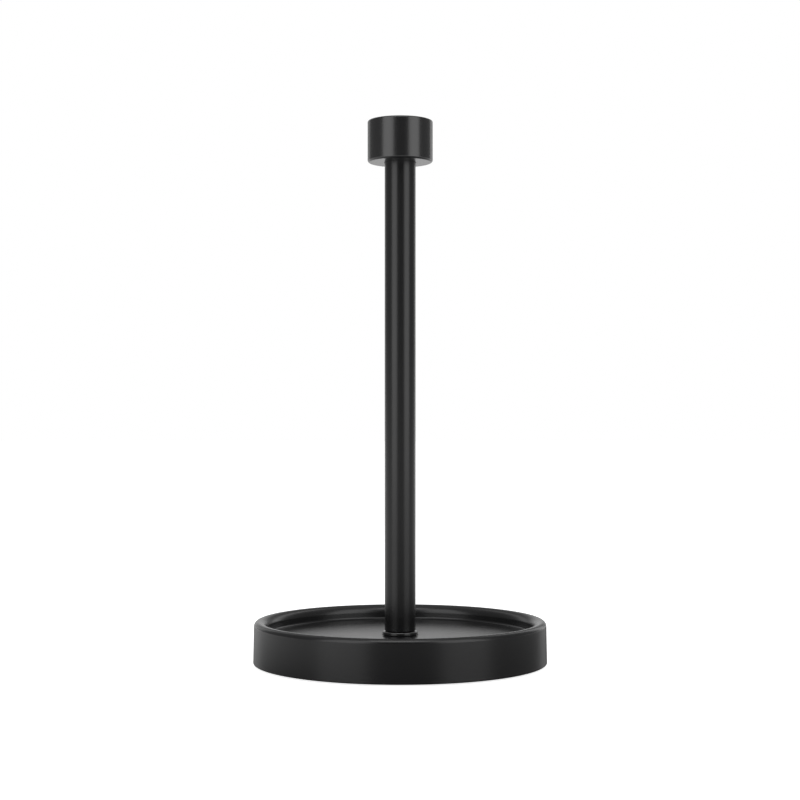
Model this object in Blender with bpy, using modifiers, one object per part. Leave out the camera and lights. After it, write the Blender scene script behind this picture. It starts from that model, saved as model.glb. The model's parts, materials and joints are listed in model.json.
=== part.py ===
"""Countertop paper towel holder: a weighted tray base, a bolted tube post and a screw-on knob.

Units are metres and +Z is up. The origin is on the post's axis, on the surface that the rubber
feet stand on. Every turned piece is drawn as an outline in its own r, z plane, with z = 0 at its
underside, and is then placed by its location.
"""

import math

import bmesh
import bpy
from mathutils import Matrix, Vector

# Gap left between pieces that rest on each other, or that one fits inside the other
TOUCH = 0.0003

# Tray: one pressed sheet that forms the floor, the hollow rim and the outer wall
BASE_DIAMETER = 0.180
SHELL_HEIGHT = 0.0255
SHELL_WALL = 0.0015
TRAY_DEPTH = 0.0090
RIM_WIDTH = 0.0081
WALL_DRAFT = 0.0005
RIM_OUTER_ROUND = 0.0028
RIM_INNER_ROUND = 0.0052
TRAY_CORNER_ROUND = 0.0014
COLLAR_SEAT_DEPTH = 0.0004
SHELL_EDGE_ROUND = 0.0007

# Underside: cover, feet and the screws that hold the cover to the ballast
FOOT_PROUD = 0.0010
FOOT_DIAMETER = 0.018
FOOT_THICKNESS = 0.0020
FOOT_EDGE_ROUND = 0.0004
FOOT_INSET = 0.0050
COVER_INSET = 0.0005
COVER_THICKNESS = 0.0018
COVER_SIDE_GAP = 0.0006
COVER_RIB = 0.0016
COVER_RIB_INSET = 0.0040
COVER_HOLE_DIAMETER = 0.024
STANDOFF_HEIGHT = 0.0030
STANDOFF_DIAMETER = 0.0090
SCREW_COUNT = 4
FOOT_COUNT = 4
SCREW_DIAMETER = 0.0030
SCREW_LENGTH = 0.0080
SCREW_HEAD_DIAMETER = 0.0056
SCREW_HEAD_HEIGHT = 0.0020
SCREW_HEAD_ROUND = 0.0010
SCREW_TIP_DIAMETER = 0.0018
SCREW_CROSS_WIDTH = 0.0007
SCREW_CROSS_SPAN = 0.0030
SCREW_CROSS_DEPTH = 0.0012
SCREW_INSET = 0.0320
SCREW_HOLE_SPARE = 0.0008

# Ballast
BALLAST_SIDE_GAP = 0.0015
BALLAST_EDGE = 0.0010

# Bolt, washers and the plugs in the post's ends
BOLT_DIAMETER = 0.006
BOLT_LENGTH = 0.025
BOLT_HEAD_DIAMETER = 0.0105
BOLT_HEAD_HEIGHT = 0.0033
BOLT_HEAD_ROUND = 0.0026
BOLT_HEAD_INSET = 0.0005
BOLT_SOCKET_ACROSS = 0.004
BOLT_SOCKET_DEPTH = 0.0018
FLAT_WASHER_DIAMETER = 0.018
FLAT_WASHER_THICKNESS = 0.0016
SPRING_WASHER_DIAMETER = 0.0118
SPRING_WASHER_THICKNESS = 0.0015
SPRING_WASHER_SPLIT = 0.0008
WASHER_WELL_DIAMETER = 0.021
LOWER_PLUG_LENGTH = 0.016
UPPER_PLUG_LENGTH = 0.018
PLUG_CHAMFER = 0.0006

# Post and the ring at its foot
POST_DIAMETER = 0.019
POST_WALL = 0.0012
POST_LENGTH = 0.289
POST_EDGE_ROUND = 0.0005
COLLAR_LIP = 0.0013
COLLAR_HEIGHT = 0.0024
COLLAR_ROUND = 0.0008

# Knob, its stud and the washer under it
KNOB_DIAMETER = 0.040
KNOB_HEIGHT = 0.0255
KNOB_EDGE_ROUND = 0.0010
KNOB_SOCKET_DEPTH = 0.0030
KNOB_WASHER_THICKNESS = 0.0008
STUD_DIAMETER = 0.008
STUD_IN_POST = 0.014
STUD_IN_KNOB = 0.012
STUD_CHAMFER = 0.0008
STUD_HOLE_SPARE = 0.0010

# Facets round each kind of turned piece
BASE_STEPS = 64
POST_STEPS = 36
KNOB_STEPS = 48
SMALL_STEPS = 24
SCREW_STEPS = 12

# Facets along an arc of the outline: FINE_ARC for those of at least FINE_ARC_RADIUS
COARSE_ARC = 2
FINE_ARC = 4
FINE_ARC_RADIUS = 0.0015

# Radii and heights that follow from the sizes above
shell_bottom = FOOT_PROUD
tray_floor = shell_bottom + SHELL_HEIGHT - TRAY_DEPTH
tray_underside = tray_floor - SHELL_WALL
shell_inner_radius = BASE_DIAMETER / 2 - SHELL_WALL

cover_bottom = shell_bottom + COVER_INSET
cover_top = cover_bottom + COVER_THICKNESS
cover_radius = shell_inner_radius - COVER_SIDE_GAP
standoff_top = cover_top + STANDOFF_HEIGHT
screw_seat = cover_bottom + SCREW_HEAD_HEIGHT + TOUCH
foot_circle = cover_radius - FOOT_INSET - FOOT_DIAMETER / 2
# The feet stand between the cover screws, the first of which is on +X.
foot_turn = math.pi / FOOT_COUNT

ballast_bottom = standoff_top + TOUCH
ballast_top = tray_underside - TOUCH
ballast_radius = shell_inner_radius - BALLAST_SIDE_GAP
screw_circle = ballast_radius - SCREW_INSET

bolt_head_bottom = cover_bottom + BOLT_HEAD_INSET
bolt_seat = bolt_head_bottom + BOLT_HEAD_HEIGHT
spring_washer_bottom = bolt_seat + TOUCH
flat_washer_bottom = spring_washer_bottom + SPRING_WASHER_THICKNESS + TOUCH
washer_well_top = flat_washer_bottom + FLAT_WASHER_THICKNESS + TOUCH
bolt_hole_radius = BOLT_DIAMETER / 2 + TOUCH

post_radius = POST_DIAMETER / 2
collar_radius = post_radius + COLLAR_LIP
collar_bottom = tray_floor - COLLAR_SEAT_DEPTH + TOUCH
post_bottom = collar_bottom + COLLAR_HEIGHT + TOUCH
post_top = post_bottom + POST_LENGTH
plug_radius = post_radius - POST_WALL - TOUCH

knob_washer_bottom = post_top + TOUCH
knob_socket_top = knob_washer_bottom + KNOB_WASHER_THICKNESS + TOUCH
knob_bottom = knob_socket_top - KNOB_SOCKET_DEPTH
stud_hole_radius = STUD_DIAMETER / 2 + TOUCH


def clear_scene():
    for old in list(bpy.data.objects):
        bpy.data.objects.remove(old, do_unlink=True)


def make_collection(name, parent):
    made = bpy.data.collections.new(name)
    parent.children.link(made)
    return made


def make_finish(name, color, roughness, metallic):
    finish = bpy.data.materials.new(name)
    finish.use_nodes = True
    shader = finish.node_tree.nodes["Principled BSDF"]
    shader.inputs["Base Color"].default_value = (*color, 1.0)
    shader.inputs["Roughness"].default_value = roughness
    shader.inputs["Metallic"].default_value = metallic
    return finish


def rounded(corners):
    """The outline's points, with each corner (r, z, radius) rounded off by an arc of that radius."""
    points = []
    for i, (r, z, radius) in enumerate(corners):
        corner = Vector((r, z))
        if radius == 0:
            points.append(corner)
            continue
        back = (Vector(corners[i - 1][:2]) - corner).normalized()
        on = (Vector(corners[(i + 1) % len(corners)][:2]) - corner).normalized()
        half = back.angle(on) / 2
        centre = corner + (back + on).normalized() * radius / math.sin(half)
        start = corner + back * radius / math.tan(half) - centre
        end = corner + on * radius / math.tan(half) - centre
        turn = math.atan2(start.x * end.y - start.y * end.x, start.dot(end))
        steps = FINE_ARC if radius >= FINE_ARC_RADIUS else COARSE_ARC
        for step in range(steps + 1):
            angle = turn * step / steps
            across = start.x * math.cos(angle) - start.y * math.sin(angle)
            up = start.x * math.sin(angle) + start.y * math.cos(angle)
            points.append(centre + Vector((across, up)))
    return points


def link(name, mesh, collection, parent, at):
    """A new object at the world place given, whichever empty it hangs from."""
    piece = bpy.data.objects.new(name, mesh)
    collection.objects.link(piece)
    piece.parent = parent
    place = Vector(at)
    while parent:
        place -= parent.location
        parent = parent.parent
    piece.location = place
    return piece


def turned_mesh(name, corners, closed):
    """An outline in the r, z plane, which runs down its outer side and, if closed, up its bore."""
    drawn = bmesh.new()
    points = [drawn.verts.new((point.x, 0, point.y)) for point in rounded(corners)]
    for first, second in zip(points, points[1:]):
        drawn.edges.new((first, second))
    if closed:
        drawn.edges.new((points[-1], points[0]))
    mesh = bpy.data.meshes.new(name)
    drawn.to_mesh(mesh)
    drawn.free()
    return mesh


def add_screw(piece, steps):
    screw = piece.modifiers.new("turn", "SCREW")
    screw.axis = "Z"
    screw.angle = math.tau
    screw.steps = steps
    screw.render_steps = steps
    screw.use_merge_vertices = True
    screw.merge_threshold = 0.00001
    screw.use_smooth_shade = True


def turned(name, corners, steps, finish, parent, at, closed=True):
    piece = link(name, turned_mesh(name, corners, closed), pieces, parent, at)
    add_screw(piece, steps)
    piece.data.materials.append(finish)
    return piece


def boolean(piece, operation, other):
    change = piece.modifiers.new(other.name, "BOOLEAN")
    change.operation = operation
    change.solver = "EXACT"
    change.object = other


def frozen(piece):
    """The piece with its modifiers worked into its mesh, so that copies can share it."""
    graph = bpy.context.evaluated_depsgraph_get()
    mesh = bpy.data.meshes.new_from_object(piece.evaluated_get(graph))
    mesh.name = piece.name
    piece.modifiers.clear()
    piece.data = mesh
    return piece


def make_cutter(name, shapes):
    """One helper object that holds a cylinder, prism or box for each (kind, size, place) given."""
    drawn = bmesh.new()
    for kind, size, place in shapes:
        if kind == "box":
            matrix = Matrix.Translation(place) @ Matrix.Diagonal((*size, 1))
            bmesh.ops.create_cube(drawn, size=1, matrix=matrix)
        else:
            radius, depth = size
            bmesh.ops.create_cone(
                drawn,
                cap_ends=True,
                segments=6 if kind == "hexagon" else SMALL_STEPS,
                radius1=radius,
                radius2=radius,
                depth=depth,
                matrix=Matrix.Translation(Vector(place) + Vector((0, 0, depth / 2))),
            )
    mesh = bpy.data.meshes.new(name)
    drawn.to_mesh(mesh)
    drawn.free()
    made = link(name, mesh, cutters, None, (0, 0, 0))
    made.hide_render = True
    made.display_type = "WIRE"
    return made


def on_circle(radius, count, turn, z):
    """Places spaced evenly on a circle, the first one at the angle turn."""
    angles = [turn + math.tau * i / count for i in range(count)]
    return [Vector((radius * math.cos(a), radius * math.sin(a), z)) for a in angles]


def ring(outer, inner, height, outer_round=0):
    """Outline of a ring or tube that stands on z = 0."""
    return [
        (outer, height, outer_round),
        (outer, 0, outer_round),
        (inner, 0, 0),
        (inner, height, 0),
    ]


def make_base_shell():
    outer = BASE_DIAMETER / 2
    top_outer = outer - WALL_DRAFT
    inner = top_outer - RIM_WIDTH
    wall = SHELL_WALL
    floor = SHELL_HEIGHT - TRAY_DEPTH
    seat = collar_radius + TOUCH
    corners = [
        (top_outer, SHELL_HEIGHT, RIM_OUTER_ROUND),
        (outer, 0, SHELL_EDGE_ROUND),
        (outer - wall, 0, SHELL_EDGE_ROUND),
        (top_outer - wall, SHELL_HEIGHT - wall, RIM_OUTER_ROUND - wall),
        (inner + wall, SHELL_HEIGHT - wall, RIM_INNER_ROUND - wall),
        (inner + wall, floor - wall, TRAY_CORNER_ROUND),
        (bolt_hole_radius, floor - wall, 0),
        (bolt_hole_radius, floor - COLLAR_SEAT_DEPTH, 0),
        (seat, floor - COLLAR_SEAT_DEPTH, 0),
        (seat, floor, 0),
        (inner, floor, TRAY_CORNER_ROUND),
        (inner, SHELL_HEIGHT, RIM_INNER_ROUND),
    ]
    turned("base_shell", corners, BASE_STEPS, powder_coat, stand, (0, 0, shell_bottom))


def make_ballast():
    height = ballast_top - ballast_bottom
    well = WASHER_WELL_DIAMETER / 2
    well_depth = washer_well_top - ballast_bottom
    corners = [
        (ballast_radius, height, BALLAST_EDGE),
        (ballast_radius, 0, BALLAST_EDGE),
        (well, 0, 0),
        (well, well_depth, 0),
        (bolt_hole_radius, well_depth, 0),
        (bolt_hole_radius, height, 0),
    ]
    ballast = turned("ballast_plate", corners, BASE_STEPS, cast_iron, stand, (0, 0, ballast_bottom))
    radius = SCREW_DIAMETER / 2 + TOUCH
    top = screw_seat + TOUCH + SCREW_LENGTH + SCREW_HOLE_SPARE
    start = ballast_bottom - TOUCH
    holes = [
        ("cylinder", (radius, top - start), place)
        for place in on_circle(screw_circle, SCREW_COUNT, 0, start)
    ]
    boolean(ballast, "DIFFERENCE", make_cutter("ballast_screw_holes", holes))


def make_cover():
    hole = COVER_HOLE_DIAMETER / 2
    rib_outer = cover_radius - COVER_RIB_INSET
    rib_inner = rib_outer - COVER_RIB
    rib_top = COVER_THICKNESS + STANDOFF_HEIGHT
    corners = [
        (cover_radius, COVER_THICKNESS, 0),
        (cover_radius, 0, 0),
        (hole, 0, 0),
        (hole, rib_top, 0),
        (hole + COVER_RIB, rib_top, 0),
        (hole + COVER_RIB, COVER_THICKNESS, 0),
        (rib_inner, COVER_THICKNESS, 0),
        (rib_inner, rib_top, 0),
        (rib_outer, rib_top, 0),
        (rib_outer, COVER_THICKNESS, 0),
    ]
    cover = turned("bottom_cover", corners, BASE_STEPS, black_plastic, stand, (0, 0, cover_bottom))
    bury = COVER_THICKNESS / 2
    standoffs = [
        ("cylinder", (STANDOFF_DIAMETER / 2, STANDOFF_HEIGHT + bury), place)
        for place in on_circle(screw_circle, SCREW_COUNT, 0, cover_top - bury)
    ]
    boolean(cover, "UNION", make_cutter("cover_standoffs", standoffs))

    below = cover_bottom - STANDOFF_HEIGHT
    head_radius = SCREW_HEAD_DIAMETER / 2 + TOUCH
    foot_radius = FOOT_DIAMETER / 2 + TOUCH
    wells = [
        ("cylinder", (head_radius, screw_seat - below), place)
        for place in on_circle(screw_circle, SCREW_COUNT, 0, below)
    ]
    wells += [
        ("cylinder", (foot_radius, FOOT_THICKNESS + TOUCH - below), place)
        for place in on_circle(foot_circle, FOOT_COUNT, foot_turn, below)
    ]
    boolean(cover, "DIFFERENCE", make_cutter("cover_wells", wells))
    screw_holes = [
        ("cylinder", (SCREW_DIAMETER / 2 + TOUCH, standoff_top - below + TOUCH), place)
        for place in on_circle(screw_circle, SCREW_COUNT, 0, below)
    ]
    boolean(cover, "DIFFERENCE", make_cutter("cover_screw_holes", screw_holes))


def make_cover_screws():
    """Pan-head screws with a cross recess, put in from below. z = 0 is the face of the head."""
    head = SCREW_HEAD_DIAMETER / 2
    shank = SCREW_DIAMETER / 2
    tip = SCREW_HEAD_HEIGHT + SCREW_LENGTH
    corners = [
        (0, tip, 0),
        (SCREW_TIP_DIAMETER / 2, tip, 0),
        (shank, tip - shank, 0),
        (shank, SCREW_HEAD_HEIGHT, 0),
        (head, SCREW_HEAD_HEIGHT, 0),
        (head, 0, SCREW_HEAD_ROUND),
        (0, 0, 0),
    ]
    z = screw_seat - TOUCH - SCREW_HEAD_HEIGHT
    places = on_circle(screw_circle, SCREW_COUNT, 0, z)
    first = turned("cover_screw_1", corners, SCREW_STEPS, zinc_steel, stand, places[0], False)
    middle = places[0]
    along = (SCREW_CROSS_SPAN, SCREW_CROSS_WIDTH, 2 * SCREW_CROSS_DEPTH)
    across = (SCREW_CROSS_WIDTH, SCREW_CROSS_SPAN, 2 * SCREW_CROSS_DEPTH)
    cross = make_cutter("screw_cross_along", [("box", along, middle)])
    boolean(cross, "UNION", make_cutter("screw_cross_across", [("box", across, middle)]))
    boolean(first, "DIFFERENCE", cross)
    frozen(first)
    for number, place in enumerate(places[1:], 2):
        link(f"cover_screw_{number}", first.data, pieces, stand, place)


def make_feet():
    radius = FOOT_DIAMETER / 2
    corners = [
        (0, FOOT_THICKNESS, 0),
        (radius, FOOT_THICKNESS, 0),
        (radius, 0, FOOT_EDGE_ROUND),
        (0, 0, 0),
    ]
    places = on_circle(foot_circle, FOOT_COUNT, foot_turn, 0)
    first = turned("rubber_foot_1", corners, SMALL_STEPS, rubber, stand, places[0], False)
    frozen(first)
    for number, place in enumerate(places[1:], 2):
        link(f"rubber_foot_{number}", first.data, pieces, stand, place)


def make_center_bolt():
    """Button-head socket screw, put in from below. z = 0 is the face of the head."""
    head = BOLT_HEAD_DIAMETER / 2
    shank = BOLT_DIAMETER / 2
    tip = BOLT_HEAD_HEIGHT + BOLT_LENGTH
    corners = [
        (0, tip, 0),
        (shank - PLUG_CHAMFER, tip, 0),
        (shank, tip - PLUG_CHAMFER, 0),
        (shank, BOLT_HEAD_HEIGHT, 0),
        (head, BOLT_HEAD_HEIGHT, 0),
        (head, 0, BOLT_HEAD_ROUND),
        (0, 0, 0),
    ]
    at = Vector((0, 0, bolt_head_bottom))
    bolt = turned("center_bolt", corners, SMALL_STEPS, zinc_steel, stand, at, False)
    corner_radius = BOLT_SOCKET_ACROSS / 2 / math.cos(math.pi / 6)
    below = Vector((0, 0, BOLT_SOCKET_DEPTH))
    size = (corner_radius, 2 * BOLT_SOCKET_DEPTH)
    boolean(bolt, "DIFFERENCE", make_cutter("bolt_socket", [("hexagon", size, at - below)]))


def make_washers():
    flat = ring(FLAT_WASHER_DIAMETER / 2, bolt_hole_radius, FLAT_WASHER_THICKNESS)
    turned("flat_washer", flat, SMALL_STEPS, zinc_steel, stand, (0, 0, flat_washer_bottom))
    outer = SPRING_WASHER_DIAMETER / 2
    coil = ring(outer, bolt_hole_radius, SPRING_WASHER_THICKNESS)
    at = (0, 0, spring_washer_bottom)
    spring = turned("spring_washer", coil, SMALL_STEPS, zinc_steel, stand, at)
    slot = (outer, SPRING_WASHER_SPLIT, 2 * SPRING_WASHER_THICKNESS)
    place = (BOLT_DIAMETER / 4 + outer / 2, 0, spring_washer_bottom + SPRING_WASHER_THICKNESS / 2)
    boolean(spring, "DIFFERENCE", make_cutter("spring_washer_split", [("box", slot, place)]))


def make_post():
    collar = ring(collar_radius, bolt_hole_radius, COLLAR_HEIGHT, COLLAR_ROUND)
    turned("post_collar", collar, POST_STEPS, gasket_plastic, stand, (0, 0, collar_bottom))
    tube = ring(post_radius, post_radius - POST_WALL, POST_LENGTH, POST_EDGE_ROUND)
    turned("post_tube", tube, POST_STEPS, powder_coat, stand, (0, 0, post_bottom))

    def plug(name, bore, length, z):
        corners = ring(plug_radius, bore, length)
        turned(name, corners, SMALL_STEPS, zinc_steel, stand, (0, 0, z))

    plug("lower_plug", bolt_hole_radius, LOWER_PLUG_LENGTH, post_bottom)
    plug("upper_plug", stud_hole_radius, UPPER_PLUG_LENGTH, post_top - UPPER_PLUG_LENGTH)


def make_knob():
    outer = KNOB_DIAMETER / 2
    socket = post_radius + TOUCH
    hole_top = KNOB_SOCKET_DEPTH + STUD_IN_KNOB + STUD_HOLE_SPARE
    corners = [
        (0, KNOB_HEIGHT, 0),
        (outer, KNOB_HEIGHT, KNOB_EDGE_ROUND),
        (outer, 0, KNOB_EDGE_ROUND),
        (socket, 0, 0),
        (socket, KNOB_SOCKET_DEPTH, 0),
        (stud_hole_radius, KNOB_SOCKET_DEPTH, 0),
        (stud_hole_radius, hole_top, 0),
        (0, hole_top, 0),
    ]
    at = (0, 0, knob_bottom)
    turned("knob_body", corners, KNOB_STEPS, knob_coat, knob_axis, at, False)

    stud = STUD_DIAMETER / 2
    length = STUD_IN_POST + knob_socket_top - post_top + STUD_IN_KNOB
    corners = [
        (0, length, 0),
        (stud - STUD_CHAMFER, length, 0),
        (stud, length - STUD_CHAMFER, 0),
        (stud, STUD_CHAMFER, 0),
        (stud - STUD_CHAMFER, 0, 0),
        (0, 0, 0),
    ]
    at = (0, 0, post_top - STUD_IN_POST)
    turned("knob_stud", corners, SMALL_STEPS, zinc_steel, knob_axis, at, False)

    washer = ring(post_radius - TOUCH, stud_hole_radius, KNOB_WASHER_THICKNESS)
    at = (0, 0, knob_washer_bottom)
    turned("knob_washer", washer, POST_STEPS, nylon, washer_axis, at)


clear_scene()
pieces = make_collection("paper_towel_holder", bpy.context.scene.collection)
cutters = make_collection("cutters", bpy.context.scene.collection)

powder_coat = make_finish("black_powder_coat", (0.018, 0.018, 0.019), 0.42, 0.0)
knob_coat = make_finish("black_knob_coat", (0.020, 0.020, 0.021), 0.38, 0.0)
gasket_plastic = make_finish("black_gasket", (0.022, 0.022, 0.022), 0.35, 0.0)
black_plastic = make_finish("black_moulded_plastic", (0.025, 0.025, 0.026), 0.55, 0.0)
rubber = make_finish("black_rubber", (0.016, 0.016, 0.016), 0.85, 0.0)
cast_iron = make_finish("ballast_iron", (0.16, 0.155, 0.15), 0.6, 0.9)
zinc_steel = make_finish("zinc_plated_steel", (0.62, 0.62, 0.60), 0.35, 1.0)
nylon = make_finish("natural_nylon", (0.72, 0.70, 0.64), 0.5, 0.0)

stand = link("stand", None, pieces, None, (0, 0, 0))
washer_axis = link("washer_axis", None, pieces, None, (0, 0, knob_washer_bottom))
knob_axis = link("knob_axis", None, pieces, washer_axis, (0, 0, knob_bottom))

make_base_shell()
make_ballast()
make_cover()
make_cover_screws()
make_feet()
make_center_bolt()
make_washers()
make_post()
make_knob()
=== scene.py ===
"""Countertop paper towel holder: the finished pieces, their finishes, the light and the camera.

Lengths are metres and +Z is up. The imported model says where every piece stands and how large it
is, and the properties below hold the finer sizes. A turned piece is an outline of
(radius, height, rounding) corners in the x, z plane, spun about its own upright axis.
"""

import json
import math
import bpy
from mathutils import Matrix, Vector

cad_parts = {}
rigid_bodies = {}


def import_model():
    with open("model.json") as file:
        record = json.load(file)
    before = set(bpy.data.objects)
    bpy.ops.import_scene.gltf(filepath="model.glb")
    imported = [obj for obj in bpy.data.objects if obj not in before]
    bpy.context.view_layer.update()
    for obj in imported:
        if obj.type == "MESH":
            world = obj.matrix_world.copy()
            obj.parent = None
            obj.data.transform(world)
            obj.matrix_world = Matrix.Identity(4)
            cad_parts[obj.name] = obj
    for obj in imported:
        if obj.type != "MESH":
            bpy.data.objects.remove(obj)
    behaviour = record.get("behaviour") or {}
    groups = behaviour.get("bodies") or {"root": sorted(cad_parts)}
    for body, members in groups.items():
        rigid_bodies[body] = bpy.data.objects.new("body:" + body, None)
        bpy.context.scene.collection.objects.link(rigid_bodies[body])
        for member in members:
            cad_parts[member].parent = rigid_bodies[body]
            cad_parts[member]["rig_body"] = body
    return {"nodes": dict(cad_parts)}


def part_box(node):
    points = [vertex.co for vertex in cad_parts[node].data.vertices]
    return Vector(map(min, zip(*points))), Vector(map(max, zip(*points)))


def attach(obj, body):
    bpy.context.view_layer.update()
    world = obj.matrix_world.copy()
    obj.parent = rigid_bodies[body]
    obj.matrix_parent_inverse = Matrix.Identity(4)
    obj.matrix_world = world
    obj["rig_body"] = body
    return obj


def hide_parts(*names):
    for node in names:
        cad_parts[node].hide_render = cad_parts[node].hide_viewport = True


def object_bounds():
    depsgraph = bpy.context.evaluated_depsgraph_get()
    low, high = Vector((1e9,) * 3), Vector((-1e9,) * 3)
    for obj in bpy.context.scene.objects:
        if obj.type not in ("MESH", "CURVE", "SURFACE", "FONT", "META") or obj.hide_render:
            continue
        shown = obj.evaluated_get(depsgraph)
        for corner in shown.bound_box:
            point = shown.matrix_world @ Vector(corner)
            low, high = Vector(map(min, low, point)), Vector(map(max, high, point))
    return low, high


bl_info = {
    "name": "Paper Towel Holder",
    "version": (1, 0, 0),
    "blender": (4, 5, 0),
    "location": "View3D > Sidebar > Towel Holder",
    "description": "Makes a weighted paper towel holder piece by piece, with its finishes and a studio",
    "category": "Add Mesh",
}

import bmesh
import bpy
from bpy.props import FloatProperty, FloatVectorProperty, IntProperty, PointerProperty
from mathutils import Matrix, Vector

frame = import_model()
cad_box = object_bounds()

UP = Vector((0, 0, 1))
ORIGIN = Vector((0, 0, 0))
WHITE = (1.0, 1.0, 1.0, 1.0)
# Points closer than this are one point: once a shape has been spun, and after a cut
WELD = 0.000001
CUT_WELD = WELD / 10
# Points are put in order on a grid of this size
SORT_GRID = 0.000002
# Edges that turn by more than this stay crisp
CREASE = math.radians(32)
# Facets along a rounded corner of an outline, and the radius up to which it needs only a few
ROUND_SEGMENTS = 10
SMALL_ROUND_SEGMENTS = 4
SMALL_ROUND = 0.0005
# Facets round the screw holes, the moulded details, and the turned metal pieces
HOLE_FACETS = 32
DETAIL_FACETS = 64
METAL_FACETS = 96
# The cover's screws and the feet are numbered
NUMBERS = range(1, 5)
# The feet stand this far above the studio floor, so that no two faces lie in one plane
FLOOR_GAP = 0.00005
# The floor's light changes over these distances from the post: all round, leftwards and backwards
FADE_ROUND = (0.25, 0.75)
FADE_LEFT = (-0.35, -0.05)
FADE_BEHIND = (0.10, 0.80)
# Where the surroundings' light changes, as shares of the way round from behind the camera, and
# between which heights, as the sine of the angle above the horizon, it turns into the ceiling's
FADE_STOPS = (0.04, 0.12, 0.95, 0.995)
FADE_CEILING = (0.6, 0.95)


# Sizes and colours that a user would change


def length(name, description, default):
    return FloatProperty(
        name=name, description=description, default=default, min=0.0, precision=5,
        subtype="DISTANCE", unit="LENGTH",
    )


def number(name, description, default):
    return FloatProperty(name=name, description=description, default=default, min=0.0)


def angle(name, description, degrees):
    return FloatProperty(
        name=name, description=description, default=math.radians(degrees),
        subtype="ANGLE", unit="ROTATION",
    )


def steps(name, description, default):
    return IntProperty(name=name, description=description, default=default, min=12, max=512)


def colour(name, description, default):
    return FloatVectorProperty(
        name=name, description=description, default=default, min=0.0, max=1.0, subtype="COLOR"
    )


class TraySizes(bpy.types.PropertyGroup):
    """The pressed tray that forms the floor, the rim and the outer wall"""

    wall: length("Sheet", "Thickness of the pressed sheet", 0.0015)
    depth: length("Depth", "From the rim's top down to the tray floor", 0.0090)
    rim: length("Rim width", "Across the rim, between its two walls", 0.0081)
    draft: length("Draft", "How far the outer wall leans in at its top", 0.0005)
    outer_round: length("Outer rounding", "Radius of the rim's outer shoulder", 0.0028)
    inner_round: length("Inner rounding", "Radius of the rim's inner shoulder", 0.0052)
    corner_round: length("Corner rounding", "Radius where the floor meets the inner wall", 0.0014)
    edge_round: length("Edge rounding", "Radius of the sheet's lower edge", 0.0007)
    seat_depth: length("Collar seat", "How deep the collar's seat is sunk into the floor", 0.0004)
    facets: steps("Facets", "Facets round the tray", 256)


class PostSizes(bpy.types.PropertyGroup):
    """The tube, the ring at its foot and the plugs in its ends"""

    wall: length("Tube wall", "Thickness of the tube", 0.0012)
    edge_round: length("End rounding", "Radius of the tube's end edges", 0.0005)
    collar_round: length("Collar rounding", "Radius of the collar's outer edges", 0.0008)
    plug_chamfer: length("Plug chamfer", "Chamfer at the ends of the plugs", 0.0005)
    facets: steps("Facets", "Facets round the post", 160)


class KnobSizes(bpy.types.PropertyGroup):
    """The turned knob and the washer under it"""

    edge_round: length("Edge rounding", "Radius of the knob's top edge", 0.0010)
    bottom_round: length("Bottom rounding", "Radius of the knob's bottom edge", 0.0014)
    socket_depth: length("Socket depth", "How far the post's end reaches into the knob", 0.0030)
    mouth_round: length("Mouth rounding", "Radius of the socket's mouth", 0.0003)
    hole_spare: length("Hole spare", "Depth of the stud's hole beyond the stud", 0.0010)
    washer_round: length("Washer rounding", "Radius of the nylon washer's edges", 0.0002)
    facets: steps("Facets", "Facets round the knob", 192)


class UndersideSizes(bpy.types.PropertyGroup):
    """The ballast, the cover that closes the base from below, and the feet"""

    cover: length("Cover", "Thickness of the cover", 0.0018)
    cover_round: length("Cover rounding", "Radius of the cover's outer edge", 0.0005)
    hole: length("Access hole", "Diameter of the hole for reaching the bolt", 0.0240)
    rib: length("Rib", "Thickness of the cover's ribs", 0.0016)
    rib_inset: length("Rib inset", "From the cover's edge to its outer rib", 0.0040)
    standoff: length("Stand-off", "Diameter of the stand-offs round the screws", 0.0090)
    well: length("Screw well", "Diameter of the wells for the screw heads", 0.0062)
    mouth_chamfer: length("Mouth chamfer", "Chamfer round each well and recess", 0.0003)
    foot_round: length("Foot rounding", "Radius of the feet's lower edge", 0.0004)
    foot_groove: length("Foot groove", "Width and spacing of the rings moulded in each foot", 0.0012)
    groove_depth: length("Groove depth", "Depth of those rings", 0.0003)
    ballast_edge: length("Ballast edge", "Radius of the ballast's edges", 0.0010)
    ballast_well: length("Washer well", "Diameter of the ballast's well for the washers", 0.0210)
    ballast_well_depth: length("Washer well depth", "Depth of that well", 0.0027)
    tapped_depth: length("Tapped holes", "Depth of the ballast's screw holes", 0.0057)
    facets: steps("Facets", "Facets round the cover and the ballast", 192)


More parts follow.
